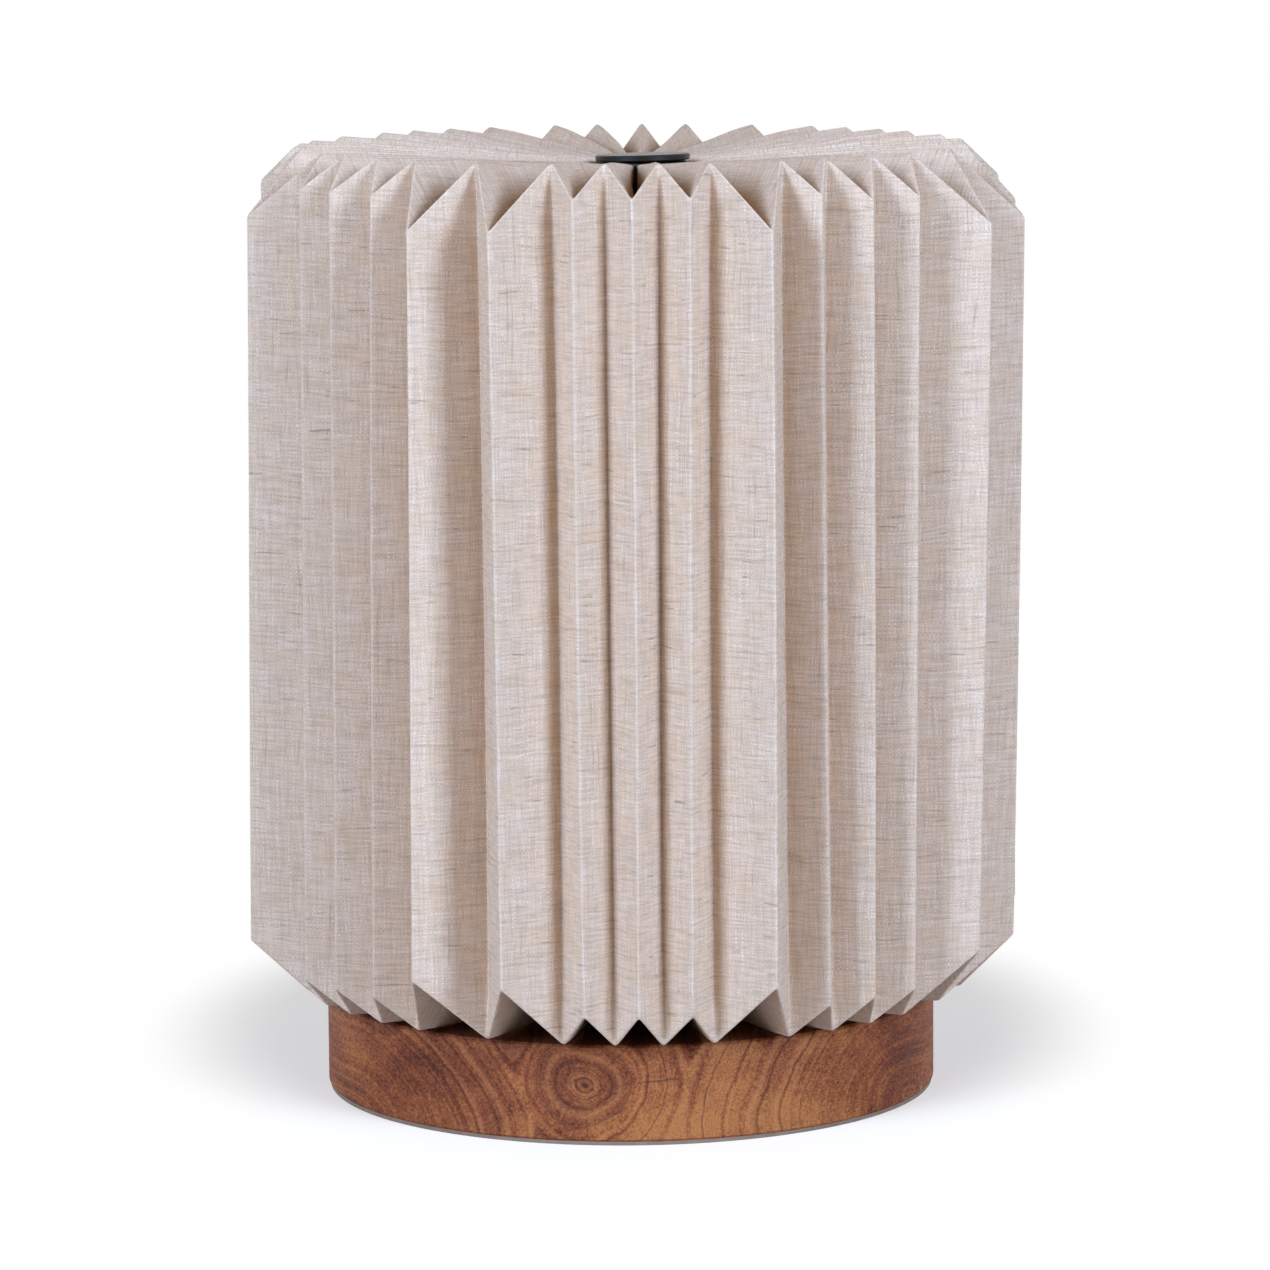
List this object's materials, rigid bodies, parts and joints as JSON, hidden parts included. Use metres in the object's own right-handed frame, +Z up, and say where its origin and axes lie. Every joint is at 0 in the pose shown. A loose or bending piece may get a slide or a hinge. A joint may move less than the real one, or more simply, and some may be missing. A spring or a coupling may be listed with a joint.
{
  "type": "table lamp",
  "caption": "Table lamp with a closed accordion-folded linen drum shade on a round solid-wood base, harp and lampholder inside.",
  "frame": {"origin": "on the floor, at the centre of the base's underside", "axes": "+Z up along the lamp, -Y towards the front, +Y towards the cord inlet at the back"},
  "size_m": [0.244, 0.2403, 0.3035],
  "materials": {
    "linen": "plain-woven linen bonded to a stiff backing",
    "base_wood": "oiled, satin",
    "base_foam": "matte foam",
    "disc_black": "satin black powder coat",
    "black_plastic": "moulded",
    "zinc_steel": "zinc plated",
    "hoop_steel": "white powder coat",
    "holder_ceramic": "unglazed",
    "contact_brass": "bright",
    "opal_plastic": "opal, satin",
    "white_plastic": "moulded",
    "bulb_metal": "nickel plated",
    "bulb_black_glass": "glossy",
    "bulb_solder": "dull solder"
  },
  "bodies": {
    "base": {"base_block": "base_wood", "base_pad": "base_foam", "cord_grommet": "black_plastic", "threaded_tube": "zinc_steel", "tube_washer": "zinc_steel", "tube_lock_washer": "zinc_steel", "tube_nut": "zinc_steel", "harp_saddle": "zinc_steel", "harp_wire": "zinc_steel", "harp_crown": "zinc_steel", "holder_cap": "black_plastic", "holder_grub_screw": "zinc_steel", "holder_sleeve": "black_plastic", "holder_insert": "holder_ceramic", "terminal_screws": "contact_brass", "screw_shell": "contact_brass", "centre_contact": "contact_brass"},
    "bulb": {"bulb_diffuser": "opal_plastic", "bulb_housing": "white_plastic", "bulb_cap": "bulb_metal", "bulb_insulator": "bulb_black_glass", "bulb_contact": "bulb_solder"},
    "shade": {"pleated_shade": "linen", "shade_hub": "black_plastic", "shade_hoop": "hoop_steel"},
    "disc": {"top_disc": "disc_black"}
  },
  "joints": [
    {"name": "shade_lift", "type": "slide", "parent": "base", "child": "shade", "axis": [0, 0, 1], "range_m": [0, 0.28]},
    {"name": "disc_turn", "type": "hinge", "parent": "shade", "child": "disc", "pos_m": [0.0059, 0, 0.2975], "axis": [0, 0, 1], "continuous": true},
    {"name": "bulb_out", "type": "slide", "parent": "base", "child": "bulb", "axis": [0, 0, 1], "range_m": [0, 0.03]}
  ]
}
